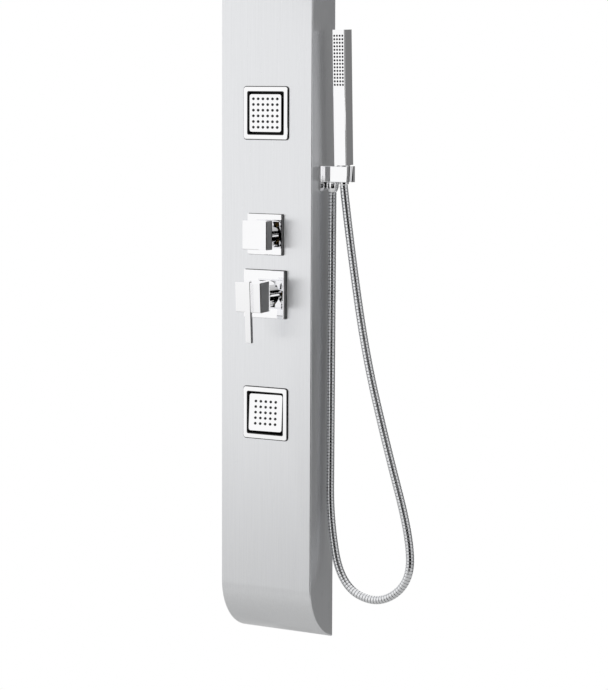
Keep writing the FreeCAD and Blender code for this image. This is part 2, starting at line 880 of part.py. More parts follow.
def make_seat_hose_nut():
    """The conical nut under the hand shower, which sits in the holder's seat."""
    return tapered_nut(0.0, 0.0)


def handset_bounds():
    half = handset_side / 2
    base = seat_axis_point(handset_clear)
    return (base.x - half, base.x + half), (base.y - half, base.y + half), (base.z, base.z + handset_length)


def make_handset_body():
    """A square stick with rounded long edges and a shallow seat for the spray plate."""
    x_range, y_range, z_range = handset_bounds()
    stick = box(x_range, y_range, z_range)
    stick = stick.makeFillet(handset_edge, edges_along(stick, Vector(0, 0, 1)))
    return lean_handset(stick.cut(spray_block(0.0)))


def spray_block(gap):
    x_range, y_range, z_range = handset_bounds()
    inset = spray_inset + gap
    top = z_range[1] - spray_top_margin - gap
    return box(
        (x_range[0] + inset, x_range[1] - inset),
        (y_range[0], y_range[0] + spray_depth),
        (top - spray_length + 2 * gap, top),
    )


def make_handset_face():
    return lean_handset(spray_block(0.0))


# ---------------------------------------------------------------- overhead arm and rain head


def head_axis_y():
    return front - arm_reach + head_from_end


def make_arm():
    """A square tube, closed at both ends, with a round threaded tail through the panel."""
    end = front - arm_reach
    tube = centred_box(arm_side, (end, front), arm_side, 0.0, arm_height)
    tube = tube.makeChamfer(arm_edge, edges_along(tube, Vector(0, 1, 0)))
    bore_side = arm_side - 2 * arm_wall
    tube = tube.cut(centred_box(bore_side, (end + arm_wall, front - arm_wall), bore_side, 0.0, arm_height))
    tail_end = Vector(0, front + arm_tail_length, arm_height)
    return tube.fuse(faceted_rod(tail_radius, Vector(0, front, arm_height), tail_end, tail_sides))


def make_arm_flange():
    y_range = (front - arm_flange_thickness, front)
    plate = centred_box(arm_flange_side, y_range, arm_flange_side, 0.0, arm_height)
    plate = plate.makeChamfer(plate_edge, front_edges(plate, y_range[0]))
    hole = (y_range[0] - clearly_past, clearly_past)
    return plate.cut(centred_box(arm_side, hole, arm_side, 0.0, arm_height))


def head_pivot():
    return Vector(0, head_axis_y(), arm_height - arm_side / 2 - head_socket_depth / 2 - head_socket_roof / 2)


def head_ring_outer():
    return head_ball_radius + head_ring_gap + head_ring_wall


def make_head_socket():
    """The square cup under the arm's end that holds the rain head's ball."""
    under = arm_height - arm_side / 2
    bore = head_ring_outer() + head_socket_gap
    half = bore + head_socket_wall
    y = head_axis_y()
    cup = box((-half, half), (y - half, y + half), (under - head_socket_depth, under))
    hollow_top = Vector(0, y, under - head_socket_roof)
    mouth = Vector(0, y, under - head_socket_depth - clearly_past)
    return cup.cut(faceted_hole(bore, hollow_top, mouth, ring_sides))


def make_head_ring():
    half = Vector(0, 0, head_ring_height / 2)
    return faceted_ring(head_ball_radius + head_ring_gap, head_ring_outer(), head_pivot(), half)


def head_top_z():
    return arm_height - arm_side / 2 - head_drop


def make_head_body():
    """A thin square box, open below, carried by a stem that ends in a ball."""
    top = head_top_z()
    bottom = top - head_thickness
    y = head_axis_y()
    body = box((-head_side / 2, head_side / 2), (y - head_side / 2, y + head_side / 2), (bottom, top))
    body = body.makeChamfer(head_corner, edges_along(body, Vector(0, 0, 1)))
    side = head_side / 2 - head_wall
    body = body.cut(box((-side, side), (y - side, y + side), (bottom - clearly_past, top - head_wall)))
    pivot = head_pivot()
    ball = ball_band(head_ball_radius, head_ball_band, pivot, Vector(0, 0, 1))
    stem = rod(head_stem_radius, pivot, Vector(0, y, top))
    return body.fuse(stem).fuse(ball)


def make_head_face():
    """The flat spray face that closes the rain head from below."""
    bottom = head_top_z() - head_thickness
    y = head_axis_y()
    side = head_side / 2 - head_wall
    return box((-side, side), (y - side, y + side), (bottom, bottom + head_face_thickness))


# ---------------------------------------------------------------- pipes and hose


def cube_at(centre, side):
    half = side / 2
    return Part.makeBox(side, side, side, centre - Vector(half, half, half))


def pipe_run(points):
    """Straight pipes between points, with a square elbow at each corner."""
    run = None
    for start, end in zip(points, points[1:]):
        piece = faceted_rod(pipe_radius, start, end, tail_sides)
        run = piece if run is None else run.fuse(piece)
    for corner in points[1:-1]:
        run = run.fuse(cube_at(corner, elbow_side))
    return run


def make_rain_pipe():
    """From the diverter's top outlet, round the upper jet, to the arm's tail."""
    y = -pipe_depth
    top = Vector(0, y, arm_height)
    points = [
        Vector(0, y, valve_height + outlet_reach()),
        Vector(0, y, rain_pipe_step),
        Vector(side_pipe_x, y, rain_pipe_step),
        Vector(side_pipe_x, y, arm_height),
        top,
    ]
    return pipe_run(points).fuse(cube_at(top, elbow_side)).removeSplitter()


def make_jet_pipe():
    """One upright between the two jets, fed from the diverter's left outlet."""
    y = -pipe_depth
    x = -side_pipe_x
    jet_end = -jet_boss_side / 2 - jet_spigot_length
    upright = [
        Vector(jet_end, y, jet_height),
        Vector(x, y, jet_height),
        Vector(x, y, -jet_height),
        Vector(jet_end, y, -jet_height),
    ]
    joint = Vector(x, y, valve_height)
    branch = faceted_rod(pipe_radius, Vector(-outlet_reach(), y, valve_height), joint, tail_sides)
    return pipe_run(upright).fuse(branch).fuse(cube_at(joint, elbow_side)).removeSplitter()


def make_hand_pipe():
    """From the diverter's right outlet up to a block on the end of the holder's tail."""
    y = -pipe_depth
    points = [
        Vector(outlet_reach(), y, valve_height),
        Vector(hand_pipe_x, y, valve_height),
        Vector(hand_pipe_x, y, outlet_height),
    ]
    half = elbow_side / 2
    block = box(
        (hand_pipe_x - half, half_width - tail_length),
        (y - half, -outlet_depth + half),
        (outlet_height - half, outlet_height + half),
    )
    return pipe_run(points).fuse(block).removeSplitter()


def hose_points():
    return [Vector(x, -outlet_depth, z) for x, z in hose_route]


def make_hose():
    """The hose's own tube: straight runs joined by arcs as large as the runs allow."""
    points = hose_points()
    edges = []
    radii = []
    length = 0.0
    last = points[0]
    for before, corner, after in zip(points, points[1:], points[2:]):
        back = (before - corner).normalize()
        ahead = (after - corner).normalize()
        turn = math.pi - back.getAngle(ahead)
        shorter = min((corner - before).Length, (after - corner).Length)
        tangent = 0.45 * shorter
        radius = tangent / math.tan(turn / 2)
        start = corner + back * tangent
        end = corner + ahead * tangent
        inward = (back + ahead).normalize()
        centre = corner + inward * (radius / math.cos(turn / 2))
        middle = centre - inward * radius
        edges.append(Part.LineSegment(last, start).toShape())
        edges.append(Part.Arc(start, middle, end).toShape())
        length += (start - last).Length + radius * turn
        radii.append(radius)
        last = end
    edges.append(Part.LineSegment(last, points[-1]).toShape())
    length += (points[-1] - last).Length
    path = Part.Wire(edges)
    section = Part.Wire(Part.makeCircle(hose_radius, points[0], points[1] - points[0]))
    tube = path.makePipeShell([section], True, False)
    expected = math.pi * hose_radius**2 * length
    print("hose length", round(length, 1), "volume share", round(tube.Volume / expected, 5))
    print("hose bend radii", [round(r) for r in radii])
    return tube


# ---------------------------------------------------------------- the assembly


def build():
    os.makedirs("parts", exist_ok=True)
    screw_heights = (-screw_spacing_z / 2, screw_spacing_z / 2)
    save("panel_shell", make_panel_shell())
    save("wall_brackets", Part.makeCompound([make_wall_bracket(z) for z in screw_heights]))
    save("hanger_bars", Part.makeCompound([make_hanger_bar(z) for z in screw_heights]))
    save("valve_body", make_valve_body())
    valve_heights = (-valve_height, valve_height)
    jet_heights = (-jet_height, jet_height)
    save("cartridge_nuts", Part.makeCompound([make_cartridge_nut(z) for z in valve_heights]))
    save("ceramic_cartridges", Part.makeCompound([make_cartridge(z) for z in valve_heights]))
    save("mixer_plate", make_escutcheon(mixer_plate_side, mixer_plate_thickness, -valve_height))
    save("mixer_rotor", make_rotor())
    save("lever_pin", make_lever_pin())
    save("mixer_stem", make_stem())
    save("mixer_handle", make_mixer_handle())
    save("mixer_lever", make_mixer_lever())
    save("mixer_grub_screw", make_grub_screw())
    save("diverter_plate", make_escutcheon(diverter_plate_side, diverter_plate_thickness, valve_height))
    collars = [
        make_collar(mixer_plate_thickness, mixer_collar_height, -valve_height),
        make_collar(diverter_plate_thickness, diverter_collar_height, valve_height),
    ]
    save("valve_collars", Part.makeCompound(collars))
    save("diverter_spindle", make_spindle())
    save("diverter_knob", make_knob())
    save("jet_bezels", Part.makeCompound([make_bezel(z) for z in jet_heights]))
    save("jet_housings", Part.makeCompound([make_jet_housing(z) for z in jet_heights]))
    save("jet_nuts", Part.makeCompound([make_jet_nut(z) for z in jet_heights]))
    for name, z, rows in (("upper_jet", jet_height, upper_jet_rows), ("lower_jet", -jet_height, lower_jet_rows)):
        save(name + "_seat_ring", jet_rest(make_seat_ring(z), z))
        save(name + "_face", jet_rest(make_jet_face(z), z))
        save(name + "_nozzles", jet_rest(make_nozzles(z, rows), z))
    save("outlet_holder", make_outlet_holder())
    save("side_flange", make_side_flange())
    save("tail_nuts", Part.makeCompound(make_tail_nuts()))
    save("hose_nut_outlet", make_outlet_hose_nut())
    save("hose_nut_seat", make_seat_hose_nut())
    save("shower_hose", make_hose())
    save("handset_body", make_handset_body())
    save("handset_face", make_handset_face())
    save("overhead_arm", make_arm())
    save("arm_flange", make_arm_flange())
    save("head_socket", make_head_socket())
    save("head_seat_ring", make_head_ring())
    save("rain_head_body", make_head_body())
    save("rain_head_face", make_head_face())
    save("rain_pipe", make_rain_pipe())
    save("jet_pipe", make_jet_pipe())
    save("hand_pipe", make_hand_pipe())
    for name, shape in parts_made:
        sound = shape.isValid()
        solids = len(shape.Solids)
        print(name, "solids", solids, "valid", sound, "volume", round(shape.Volume))


build()
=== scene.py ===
import json
import math

import bmesh
import bpy
from mathutils import Matrix, Quaternion, Vector


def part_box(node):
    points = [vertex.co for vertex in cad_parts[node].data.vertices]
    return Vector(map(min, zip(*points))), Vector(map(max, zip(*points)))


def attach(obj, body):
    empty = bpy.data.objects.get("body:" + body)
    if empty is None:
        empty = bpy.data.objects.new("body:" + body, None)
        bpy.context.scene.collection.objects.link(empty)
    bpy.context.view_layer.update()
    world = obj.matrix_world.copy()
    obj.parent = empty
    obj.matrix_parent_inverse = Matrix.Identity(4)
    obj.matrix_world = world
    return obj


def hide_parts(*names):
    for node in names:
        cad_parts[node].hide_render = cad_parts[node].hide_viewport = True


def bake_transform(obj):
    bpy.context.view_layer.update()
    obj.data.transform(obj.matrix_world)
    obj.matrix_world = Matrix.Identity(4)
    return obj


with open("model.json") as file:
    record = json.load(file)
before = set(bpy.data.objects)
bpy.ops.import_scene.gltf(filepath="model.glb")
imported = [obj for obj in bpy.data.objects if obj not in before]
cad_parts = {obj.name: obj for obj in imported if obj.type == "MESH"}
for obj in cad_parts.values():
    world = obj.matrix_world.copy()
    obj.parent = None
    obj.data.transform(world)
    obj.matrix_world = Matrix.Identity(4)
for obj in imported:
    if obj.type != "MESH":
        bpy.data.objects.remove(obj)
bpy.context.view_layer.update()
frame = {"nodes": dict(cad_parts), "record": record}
cadNodes = frame["nodes"]
scene = bpy.context.scene
scene.view_settings.view_transform = "Standard"
print("frame loaded with", len(cadNodes), "nodes")

# Z is up, the panel faces -Y and X runs to the right. Lengths are in metres, angles in degrees.


def hexColour(code):
    # an sRGB hex code as the linear colour that a node takes
    channels = [int(code[i : i + 2], 16) / 255 for i in (1, 3, 5)]
    linear = [c / 12.92 if c <= 0.04045 else ((c + 0.055) / 1.055) ** 2.4 for c in channels]
    return (*linear, 1.0)


def addNode(tree, kind, settings=None, values=None, links=None):
    # values and links go by an input's name or its number
    node = tree.nodes.new(kind)
    for name, value in (settings or {}).items():
        setattr(node, name, value)
    for name, value in (values or {}).items():
        node.inputs[name].default_value = value
    for name, socket in (links or {}).items():
        tree.links.new(socket, node.inputs[name])
    return node


def emptyMaterial(name):
    material = bpy.data.materials.new(name)
    material.use_nodes = True
    material.node_tree.nodes.clear()
    return material, material.node_tree


def newFinish(name, colour, values):
    # a Principled shader with plain values; the finish's own function adds its patterns
    material, tree = emptyMaterial(name)
    plain = {"Base Color": hexColour(colour), **values}
    shader = addNode(tree, "ShaderNodeBsdfPrincipled", values=plain)
    addNode(tree, "ShaderNodeOutputMaterial", links={"Surface": shader.outputs["BSDF"]})
    return material, tree, shader


def addPattern(tree, kind, values, stretch=(1.0, 1.0, 1.0)):
    # a texture on the piece's own coordinates; Scale is about how many of its spots fit in a metre
    place = addNode(tree, "ShaderNodeTexCoord").outputs["Object"]
    spread = addNode(tree, "ShaderNodeMapping", None, {"Scale": stretch}, {"Vector": place})
    return addNode(tree, kind, None, values, {"Vector": spread.outputs["Vector"]}).outputs[0]


def vary(tree, shader, pattern, colours=None, roughness=None, relief=None):
    # a 0 to 1 pattern blends two colours, two roughnesses, or raises relief of a strength and depth
    if colours:
        ends = {"A": hexColour(colours[0]), "B": hexColour(colours[1])}
        blend = addNode(tree, "ShaderNodeMix", {"data_type": "RGBA"}, ends, {"Factor": pattern})
        tree.links.new(blend.outputs["Result"], shader.inputs["Base Color"])
    if roughness:
        ends = {"To Min": roughness[0], "To Max": roughness[1]}
        spread = addNode(tree, "ShaderNodeMapRange", None, ends, {"Value": pattern})
        tree.links.new(spread.outputs["Result"], shader.inputs["Roughness"])
    if relief:
        sizes = {"Strength": relief[0], "Distance": relief[1]}
        bump = addNode(tree, "ShaderNodeBump", None, sizes, {"Height": pattern})
        tree.links.new(bump.outputs["Normal"], shader.inputs["Normal"])


def finishNode(nodeName, material):
    slots = cadNodes[nodeName].data.materials
    slots.clear()
    slots.append(material)


def turned(degrees, axis):
    return Matrix.Rotation(math.radians(degrees), 4, axis)


# the photograph's viewing angle
cameraView = {
    "place": (2.3984, -3.7996, 0.3203),
    "lookAt": (0.0855, -0.0848, -0.1387),
    "roll": 0.22,  # the right side a touch higher
    "lens": 130.4,
    "seesTo": 50.0,
}


def setCamera(view):
    data = bpy.data.cameras.new("photoCamera")
    data.lens = view["lens"]
    data.clip_end = view["seesTo"]
    camera = bpy.data.objects.new("photoCamera", data)
    scene.collection.objects.link(camera)
    place = Vector(view["place"])
    look = (Vector(view["lookAt"]) - place).to_track_quat("-Z", "Y")
    camera.rotation_mode = "QUATERNION"
    camera.rotation_quaternion = look @ Quaternion((0, 0, 1), math.radians(view["roll"]))
    camera.location = place
    scene.camera = camera


setCamera(cameraView)
print("camera set")


# the hose is a wound metal strip, so its outside is a row of narrow bands with grooves between
hoseDesign = {
    # X and height of the route's guide points, from the outlet down, round and up
    "route": [
        (0.1095, 0.1287),
        (0.1079, -0.337),  # keeps the long left stretch straight, as it hangs
        (0.1075, -0.455),
        (0.1305, -0.571),
        (0.206, -0.6005),
        (0.2725, -0.555),
        (0.2725, -0.472),
        (0.222, -0.310),
        (0.178, -0.150),
        (0.1445, 0.050),
        (0.1325, 0.1418),
    ],
    "plane": -0.0303,
    "splineOrder": 3,
    "splineSteps": 40,
    "radius": 0.0073,  # over the ribs
    "ribPitch": 0.0058,
    "ribDepth": 0.0006,
    "bandStretch": 0.22,  # of the pitch, how far the two ends of a band move out from its thirds
    "foldAngle": 26.0,  # steeper folds, those of the grooves, stay edges
    "sides": 18,
}


def hoseLine(design):
    # the points of the route's smooth spline
    curve = bpy.data.curves.new("hoseLine", "CURVE")
    curve.dimensions = "3D"
    curve.resolution_u = design["splineSteps"]
    spline = curve.splines.new("NURBS")
    spline.points.add(len(design["route"]) - 1)
    for point, (x, z) in zip(spline.points, design["route"]):
        point.co = (x, design["plane"], z, 1.0)
    spline.order_u = design["splineOrder"]
    spline.use_endpoint_u = True
    carrier = bpy.data.objects.new("hoseLine", curve)
    scene.collection.objects.link(carrier)
    depsgraph = bpy.context.evaluated_depsgraph_get()
    line = bpy.data.meshes.new_from_object(carrier.evaluated_get(depsgraph))
    points = [vertex.co.copy() for vertex in line.vertices]
    bpy.data.objects.remove(carrier)
    bpy.data.meshes.remove(line)
    return points


def lineLength(points):
    return sum((b - a).length for a, b in zip(points, points[1:]))


def lineObject(name, points):
    mesh = bpy.data.meshes.new(name)
    steps = [(i, i + 1) for i in range(len(points) - 1)]
    mesh.from_pydata([tuple(p) for p in points], steps, [])
    made = bpy.data.objects.new(name, mesh)
    scene.collection.objects.link(made)
    return made


def newTree(name, inputs):
    # a Geometry Nodes tree with named inputs; also gives back the sockets that hold them
    tree = bpy.data.node_groups.new(name, "GeometryNodeTree")
    face = tree.interface
    face.new_socket("Geometry", in_out="INPUT", socket_type="NodeSocketGeometry")
    for label, kind in inputs.items():
        face.new_socket(label, in_out="INPUT", socket_type="NodeSocket" + kind)
    face.new_socket("Geometry", in_out="OUTPUT", socket_type="NodeSocketGeometry")
    return tree, addNode(tree, "NodeGroupInput").outputs


def coatTree(tree, geometry, finish):
    # the end of each tree
    coat = {"Geometry": geometry, "Material": finish}
    coated = addNode(tree, "GeometryNodeSetMaterial", links=coat)
    addNode(tree, "NodeGroupOutput", links={"Geometry": coated.outputs[0]})


def ribbedTubeTree():
    # three rings along the line for each rib: one in its groove and one at each end of its band
    tree, put = newTree(
        "ribbedTube",
        {
            "Radius": "Float",
            "Rib Pitch": "Float",
            "Rib Depth": "Float",
            "Band Stretch": "Float",
            "Rings": "Int",
            "Sides": "Int",
            "Finish": "Material",
        },
    )
    times = {"operation": "MULTIPLY"}
    line = addNode(tree, "GeometryNodeMeshToCurve", links={"Mesh": put["Geometry"]})
    count = {"Curve": line.outputs[0], "Count": put["Rings"]}
    even = addNode(tree, "GeometryNodeResampleCurve", links=count)
    # the ring's number made -1 and 1 at the two ends of a band and 0 in a groove
    index = addNode(tree, "GeometryNodeInputIndex")
    back = addNode(tree, "ShaderNodeMath", times, {1: -1.0}, {0: index.outputs[0]})
    end = addNode(
        tree, "ShaderNodeMath", {"operation": "WRAP"}, {1: 2.0, 2: -1.0}, {0: back.outputs[0]}
    )
    groove = addNode(
        tree, "ShaderNodeMath", {"operation": "COMPARE"}, {1: 0.0, 2: 0.5}, {0: end.outputs[0]}
    )
    # the ends of a band move apart along the line
    reach = addNode(
        tree, "ShaderNodeMath", times, links={0: put["Rib Pitch"], 1: put["Band Stretch"]}
    )
    shift = addNode(tree, "ShaderNodeMath", times, links={0: end.outputs[0], 1: reach.outputs[0]})
    heading = addNode(tree, "GeometryNodeInputTangent")
    slide = addNode(
        tree,
        "ShaderNodeVectorMath",
        {"operation": "SCALE"},
        links={0: heading.outputs[0], "Scale": shift.outputs[0]},
    )
    spaced = addNode(
        tree,
        "GeometryNodeSetPosition",
        links={"Geometry": even.outputs[0], "Offset": slide.outputs["Vector"]},
    )
    # the finish reads where the grooves are and paints shade into them
    marked = addNode(
        tree,
        "GeometryNodeStoreNamedAttribute",
        {"data_type": "FLOAT", "domain": "POINT"},
        {"Name": "groove"},
        {"Geometry": spaced.outputs[0], "Value": groove.outputs[0]},
    )
    sink = addNode(
        tree, "ShaderNodeMath", times, links={0: groove.outputs[0], 1: put["Rib Depth"]}
    )
    radius = addNode(
        tree,
        "ShaderNodeMath",
        {"operation": "SUBTRACT"},
        links={0: put["Radius"], 1: sink.outputs[0]},
    )
    sized = addNode(
        tree,
        "GeometryNodeSetCurveRadius",
        links={"Curve": marked.outputs[0], "Radius": radius.outputs[0]},
    )
    ring = addNode(
        tree,
        "GeometryNodeCurvePrimitiveCircle",
        values={"Radius": 1.0},
        links={"Resolution": put["Sides"]},
    )
    tubeMesh = addNode(
        tree,
        "GeometryNodeCurveToMesh",
        values={"Fill Caps": True},
        links={
            "Curve": sized.outputs[0],
            "Profile Curve": ring.outputs[0],
            "Scale": radius.outputs[0],
        },
    )
    real = addNode(tree, "GeometryNodeRealizeInstances", links={"Geometry": tubeMesh.outputs[0]})
    coatTree(tree, real.outputs[0], put["Finish"])
    return tree


def runTree(carrier, tree, values):
    # applies a tree to its carrier, which keeps its name and becomes a plain mesh object
    modifier = carrier.modifiers.new("build", "NODES")
    modifier.node_group = tree
    for item in tree.interface.items_tree:
        if item.item_type == "SOCKET" and item.in_out == "INPUT" and item.name in values:
            modifier[item.identifier] = values[item.name]
    depsgraph = bpy.context.evaluated_depsgraph_get()
    mesh = bpy.data.meshes.new_from_object(carrier.evaluated_get(depsgraph))
    carrier.modifiers.remove(modifier)
    old = carrier.data
    carrier.data = mesh
    bpy.data.meshes.remove(old)
    return carrier


def hoseFinishGrooveShade():
    # polished stainless strip wound into a hose: mirror bright on each band, with shade painted
    # dark into each groove
    material, tree, shader = newFinish(
        "woundStainlessGrooveShade", "#E8E9EB", {"Metallic": 1.0, "Roughness": 0.14}
    )
    groove = addNode(tree, "ShaderNodeAttribute", {"attribute_name": "groove"})
    # painted shade: the groove rings are coloured dark
    vary(tree, shader, groove.outputs["Fac"], colours=("#E8E9EB", "#3C3E40"))
    # scuffs of 4 to 5 mm
    scuffs = addPattern(tree, "ShaderNodeTexNoise", {"Scale": 220.0, "Detail": 2.0})
    vary(tree, shader, scuffs, roughness=(0.10, 0.22))
    return material


def makeHose(design):
    # two halves that meet at the lowest point; the left one goes with the panel, and the right one
    # is left where it lies, with no body
    points = hoseLine(design)
    lowest = min(range(len(points)), key=lambda i: points[i].z)
    halves = {"hoseFromOutlet": points[: lowest + 1], "hoseToHandset": points[lowest:]}
    tree = ribbedTubeTree()
    finish = hoseFinishGrooveShade()
    made = {}
    for name, line in halves.items():
        length = lineLength(line)
        ribs = round(length / design["ribPitch"])
        values = {
            "Radius": design["radius"],
            "Rib Pitch": length / ribs,
            "Rib Depth": design["ribDepth"],
            "Band Stretch": design["bandStretch"],
            "Rings": 3 * ribs + 1,
            "Sides": design["sides"],
            "Finish": finish,
        }
        made[name] = runTree(lineObject(name, line), tree, values)
        mesh = made[name].data
        mesh.shade_smooth()
        mesh.set_sharp_from_angle(angle=math.radians(design["foldAngle"]))
        print(name, "length", round(length, 4), "ribs", ribs, "faces", len(mesh.polygons))
    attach(made["hoseFromOutlet"], "panel")
    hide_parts("shower_hose")
    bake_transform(made["hoseToHandset"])


def brushedStainless():
    # 304 sheet, belt-brushed lengthwise: upright lines that smear every reflection sideways
    material, tree, shader = newFinish(
        "brushedStainlessSheet",
        "#EBECEE",
        {"Metallic": 1.0, "Roughness": 0.3, "Anisotropic": 0.75},
    )
    # real brush lines are 0.1 mm apart; these are 1 to 3 mm, the finest that the picture can show
    lines = addPattern(
        tree,
        "ShaderNodeTexNoise",
        {"Scale": 1.0, "Detail": 3.0, "Roughness": 0.6},
        stretch=(600.0, 600.0, 9.0),
    )
    vary(tree, shader, lines, ("#E4E5E7", "#F2F3F5"), (0.24, 0.36), relief=(0.12, 0.00005))
    across = addNode(tree, "ShaderNodeTangent", {"direction_type": "RADIAL", "axis": "Z"})
    tree.links.new(across.outputs["Tangent"], shader.inputs["Tangent"])
    return material


def chromePlate(name, waviness):
    # nickel-chrome plate: a mirror with a faint cold tint and soft wipe marks
    material, tree, shader = newFinish(name, "#FAFAFB", {"Metallic": 1.0, "Roughness": 0.04})
    # wipe marks of some 26 mm, and the polished surface's waves of some 45 mm
    wipes = addPattern(tree, "ShaderNodeTexNoise", {"Scale": 38.0, "Detail": 4.0})
    vary(tree, shader, wipes, roughness=(0.02, 0.07))
    waves = addPattern(tree, "ShaderNodeTexNoise", {"Scale": 22.0, "Detail": 1.0})
    vary(tree, shader, waves, relief=(waviness, 0.001))
    return material


def castBrass():
    # sand-cast brass, not polished: dull yellow, pitted, with browner stains
    material, tree, shader = newFinish(
        "sandCastBrass", "#B8924E", {"Metallic": 1.0, "Roughness": 0.5}
    )
    # sand grains are 0.3 mm; the pits are drawn at 1.4 mm, so that they show. Stains of 22 mm
    grit = addPattern(tree, "ShaderNodeTexNoise", {"Scale": 700.0, "Detail": 5.0})
    stain = addPattern(tree, "ShaderNodeTexNoise", {"Scale": 45.0, "Detail": 3.0})
    vary(tree, shader, stain, ("#9C7A40", "#CBA660"), (0.38, 0.62))
    vary(tree, shader, grit, relief=(0.35, 0.0003))
    return material


def zincPlate():
    # zinc on pressed steel strip: pale grey with a faint bluish bloom in spots of 6 mm
    material, tree, shader = newFinish(
        "zincPlatedSteel", "#B4B9BE", {"Metallic": 1.0, "Roughness": 0.36}
    )
    bloom = addPattern(tree, "ShaderNodeTexVoronoi", {"Scale": 160.0})
    vary(tree, shader, bloom, ("#AEB5BC", "#C6C8C6"), (0.28, 0.46))
    return material


def drawnTube():
    # drawn stainless tube: smooth, with cloudy wipe marks of 11 mm
    material, tree, shader = newFinish(
        "drawnStainlessTube", "#BDBDBA", {"Metallic": 1.0, "Roughness": 0.22}
    )
    marks = addPattern(tree, "ShaderNodeTexNoise", {"Scale": 90.0, "Detail": 3.0})
    vary(tree, shader, marks, roughness=(0.16, 0.32))
    return material


def blackAbs():
    # injection-moulded ABS with a spark-eroded grain of half a millimetre
    material, tree, shader = newFinish("blackMouldedAbs", "#0B0B0C", {"Roughness": 0.5})
    grain = addPattern(tree, "ShaderNodeTexNoise", {"Scale": 2200.0, "Detail": 2.0})
    vary(tree, shader, grain, roughness=(0.42, 0.6), relief=(0.2, 0.0001))
    return material


def greyAcetal():
    # waxy machined acetal of the friction rings, with a sheen that changes every 3 mm
    material, tree, shader = newFinish("greyAcetal", "#4A4B4D", {"Roughness": 0.45})
    swirl = addPattern(tree, "ShaderNodeTexNoise", {"Scale": 300.0, "Detail": 2.0})
    vary(tree, shader, swirl, roughness=(0.38, 0.55))
    return material


def whiteAcetal():
    # natural acetal of the cartridge cans: milky, faintly warm, cloudy every 8 mm
    material, tree, shader = newFinish("naturalAcetal", "#E6E4DC", {"Roughness": 0.4})
    cloud = addPattern(tree, "ShaderNodeTexNoise", {"Scale": 120.0, "Detail": 2.0})
    vary(tree, shader, cloud, ("#DEDBD2", "#EDECE6"))
    return material


def darkSilicone():
    # moulded silicone: soft, nearly black, with a dusty bloom in specks of 1 mm
    material, tree, shader = newFinish("darkSilicone", "#232426", {"Roughness": 0.6})
    bloom = addPattern(tree, "ShaderNodeTexNoise", {"Scale": 900.0, "Detail": 2.0})
    vary(tree, shader, bloom, ("#1C1D1F", "#303134"))
    return material


def edgeShadeSealFinish():
    # moulded rubber seal, dull and black: a real seal that also draws the contact shadow at the
    # frames' edges as a thin dark line of painted shade; dust in spots of 2 mm
    material, tree, shader = newFinish("mouldedSealWithEdgeShade", "#141415", {"Roughness": 0.7})
    dust = addPattern(tree, "ShaderNodeTexNoise", {"Scale": 500.0, "Detail": 2.0})
    vary(tree, shader, dust, roughness=(0.6, 0.8))
    return material


chrome = chromePlate("chromePlatedBrass", 0.02)
sprayPlate = chromePlate("platedSprayPlate", 0.02)
tube = drawnTube()
nozzleRubber = darkSilicone()
edgeShadeSeal = edgeShadeSealFinish()

finishes = {
    "panel_steel": brushedStainless(),
    "zinc_steel": zincPlate(),
    "chrome": chrome,
    "chromed_plastic": chromePlate("chromePlatedAbs", 0.05),
    "cast_brass": castBrass(),
    "ceramic_can": whiteAcetal(),
    "housing_plastic": blackAbs(),
    "ring_plastic": greyAcetal(),
    "nozzle_rubber": nozzleRubber,
    "jet_face_plastic": sprayPlate,
    "spray_plate": sprayPlate,
    "pipe_metal": tube,
}
for entry in frame["record"]["subparts"]:
    if entry["material_slot"] in finishes:
        finishNode(entry["node"], finishes[entry["material_slot"]])
for nodeName in ("diverter_spindle", "mixer_stem", "mixer_rotor"):
    finishNode(nodeName, tube)  # turned bright, so no yellow shows behind the knob and the handle
print("finishes set")


def ownPiece(name, mesh, body, material, *nodes):
    # a mesh that moves with a body and may replace CAD nodes; with no material it keeps its own
    made = bpy.data.objects.new(name, mesh)
    scene.collection.objects.link(made)
    if material:
        mesh.materials.clear()
        mesh.materials.append(material)
    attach(made, body)
    if nodes:
        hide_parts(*nodes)
    return made


smoothing = {
    "foldAngle": 32.0,  # steeper folds stay edges
    "mergeWithin": 1e-6,
}

roundedNodes = {
    "panel": [
        "panel_shell",
        "valve_body",
        "valve_collars",
        "jet_bezels",
        "jet_housings",
        "outlet_holder",
        "overhead_arm",
        "ceramic_cartridges",
        "rain_pipe",
        "jet_pipe",
        "hand_pipe",
    ],
    "mixer_fork": ["mixer_rotor"],
    "mixer_grip": ["mixer_handle"],
    "diverter_grip": ["diverter_knob"],
    "upper_jet": ["upper_jet_face"],
    "lower_jet": ["lower_jet_face"],
    "handset": ["handset_body"],
    "rain_head": ["rain_head_body"],
}


def smoothCopy(nodeName, body, design):
    # the CAD mesh is loose flat triangles: a merged copy takes its place, so its rounds shade round
    mesh = cadNodes[nodeName].data.copy()
    fold = math.radians(design["foldAngle"])
    work = bmesh.new()
    work.from_mesh(mesh)
    bmesh.ops.remove_doubles(work, verts=work.verts, dist=design["mergeWithin"])
    for face in work.faces:
        face.smooth = True
    for edge in work.edges:
        edge.smooth = len(edge.link_faces) == 2 and edge.calc_face_angle(0.0) < fold
    work.to_mesh(mesh)
    work.free()
    return ownPiece(nodeName + "_smooth", mesh, body, None, nodeName)


for bodyName, nodeNames in roundedNodes.items():
    for nodeName in nodeNames:
        smoothCopy(nodeName, bodyName, smoothing)
print("rounded pieces smoothed")


# some 300 round nubs, so each has few faces
nubShape = {
    "sides": 10,
    "rings": 6,
}


